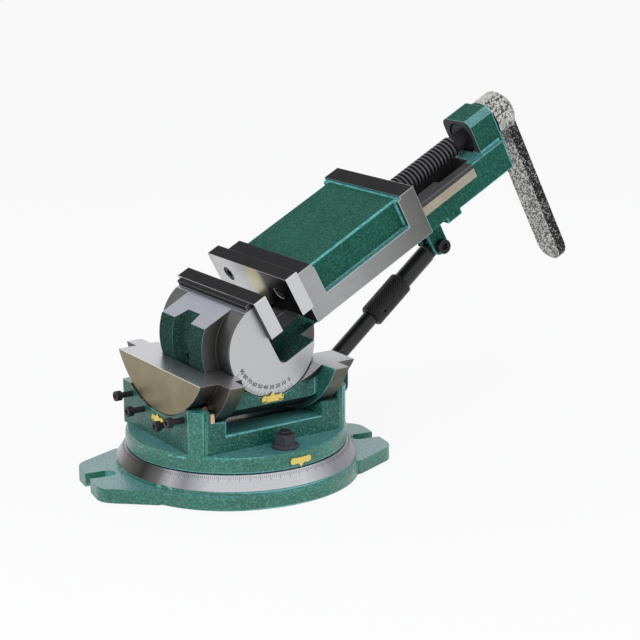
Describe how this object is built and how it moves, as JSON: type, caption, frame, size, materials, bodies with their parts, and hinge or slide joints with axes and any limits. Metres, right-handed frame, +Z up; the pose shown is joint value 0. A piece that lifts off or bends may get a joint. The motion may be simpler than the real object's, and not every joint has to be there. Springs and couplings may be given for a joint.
{
  "type": "angle milling vise",
  "caption": "Milling vise on a round swivel base, with a cradle that tilts sideways and a vise body that lifts at its head on a telescopic strut.",
  "frame": {"origin": "centre of the base's underside, on the swivel axis", "axes": "+Z up along the swivel axis, +X through the two slotted lugs on the side of the crank, +Y away from the graduated dial's side"},
  "size_m": [0.4835, 0.2082, 0.3009],
  "materials": {
    "green_enamel": "hammered green enamel on cast iron, with machined faces left bare",
    "graduated_steel": "turned and graduated",
    "machined_steel": "turned",
    "ground_jaw_steel": "ground faces, blackened top",
    "black_oxide": "black oxide",
    "brass": "stamped and polished",
    "bronze": "turned",
    "crank_steel": "cast, pebbled and tumbled bright"
  },
  "bodies": {
    "base": {"base_casting": "green_enamel", "graduated_ring": "graduated_steel", "pivot_pin": "machined_steel"},
    "swivel": {"swivel_body": "green_enamel", "swivel_bolts": "black_oxide", "swivel_nuts": "black_oxide", "swivel_pointer": "brass", "tilt_pointer": "brass", "tilt_pointer_rivets": "brass", "tilt_clamp_screws": "black_oxide", "tilt_gib": "brass"},
    "cradle": {"cradle": "green_enamel", "elevation_pointer": "brass", "elevation_pointer_rivets": "brass", "hold_down_bolt": "black_oxide", "hold_down_nut": "black_oxide", "strut_bracket": "green_enamel", "strut_bracket_screws": "black_oxide"},
    "vise_body": {"vise_body": "green_enamel", "elevation_dial": "graduated_steel", "fixed_jaw_plate": "ground_jaw_steel", "fixed_plate_screws": "black_oxide", "head_bush": "bronze", "strut_pivot_bolt": "black_oxide", "strut_pivot_nut": "black_oxide"},
    "movable_jaw": {"movable_jaw": "green_enamel", "movable_jaw_plate": "ground_jaw_steel", "movable_plate_screws": "black_oxide", "jaw_nut": "bronze", "keeper_plate": "machined_steel", "keeper_screws": "black_oxide"},
    "screw": {"lead_screw": "black_oxide", "crank_handle": "crank_steel", "crank_pin": "machined_steel"},
    "strut_upper": {"strut_upper_tube": "black_oxide", "strut_sleeve": "black_oxide", "strut_lock_screw": "black_oxide"},
    "strut_lower": {"strut_lower_rod": "black_oxide"}
  },
  "joints": [
    {"name": "swivel", "type": "hinge", "parent": "base", "child": "swivel", "pos_m": [0, 0, 0.03], "axis": [0, 0, 1], "continuous": true},
    {"name": "tilt", "type": "hinge", "parent": "swivel", "child": "cradle", "pos_m": [0, 0, 0.1455], "axis": [0.986, 0.1668, 0], "range_deg": [-45, 45]},
    {"name": "elevation", "type": "hinge", "parent": "cradle", "child": "vise_body", "pos_m": [0.00197, 0.00033, 0.1185], "axis": [0.1668, -0.986, 0], "range_deg": [-28, 17]},
    {"name": "crank", "type": "hinge", "parent": "vise_body", "child": "screw", "pos_m": [0.23833, 0.04031, 0.26408], "axis": [0.8706, 0.1472, 0.4695], "range_deg": [-1915, 7195]},
    {"name": "jaw_slide", "type": "slide", "parent": "vise_body", "child": "movable_jaw", "axis": [0.8706, 0.1472, 0.4695], "range_m": [-0.0213, 0.08]},
    {"name": "strut_pivot", "type": "hinge", "parent": "vise_body", "child": "strut_upper", "pos_m": [0.20529, 0.03472, 0.16947], "axis": [0.1668, -0.986, 0], "range_deg": [-8.3, 5.1]},
    {"name": "strut_slide", "type": "slide", "parent": "strut_upper", "child": "strut_lower", "axis": [-0.7596, -0.1285, -0.6375], "range_m": [-0.0395, 0.024]}
  ],
  "couplings": [
    {"joint": "jaw_slide", "follows": "crank", "m_per_rad": 0.00063662},
    {"joint": "strut_pivot", "follows": "elevation", "ratio": 0.2944},
    {"joint": "strut_slide", "follows": "elevation", "m_per_rad": 0.08069}
  ]
}
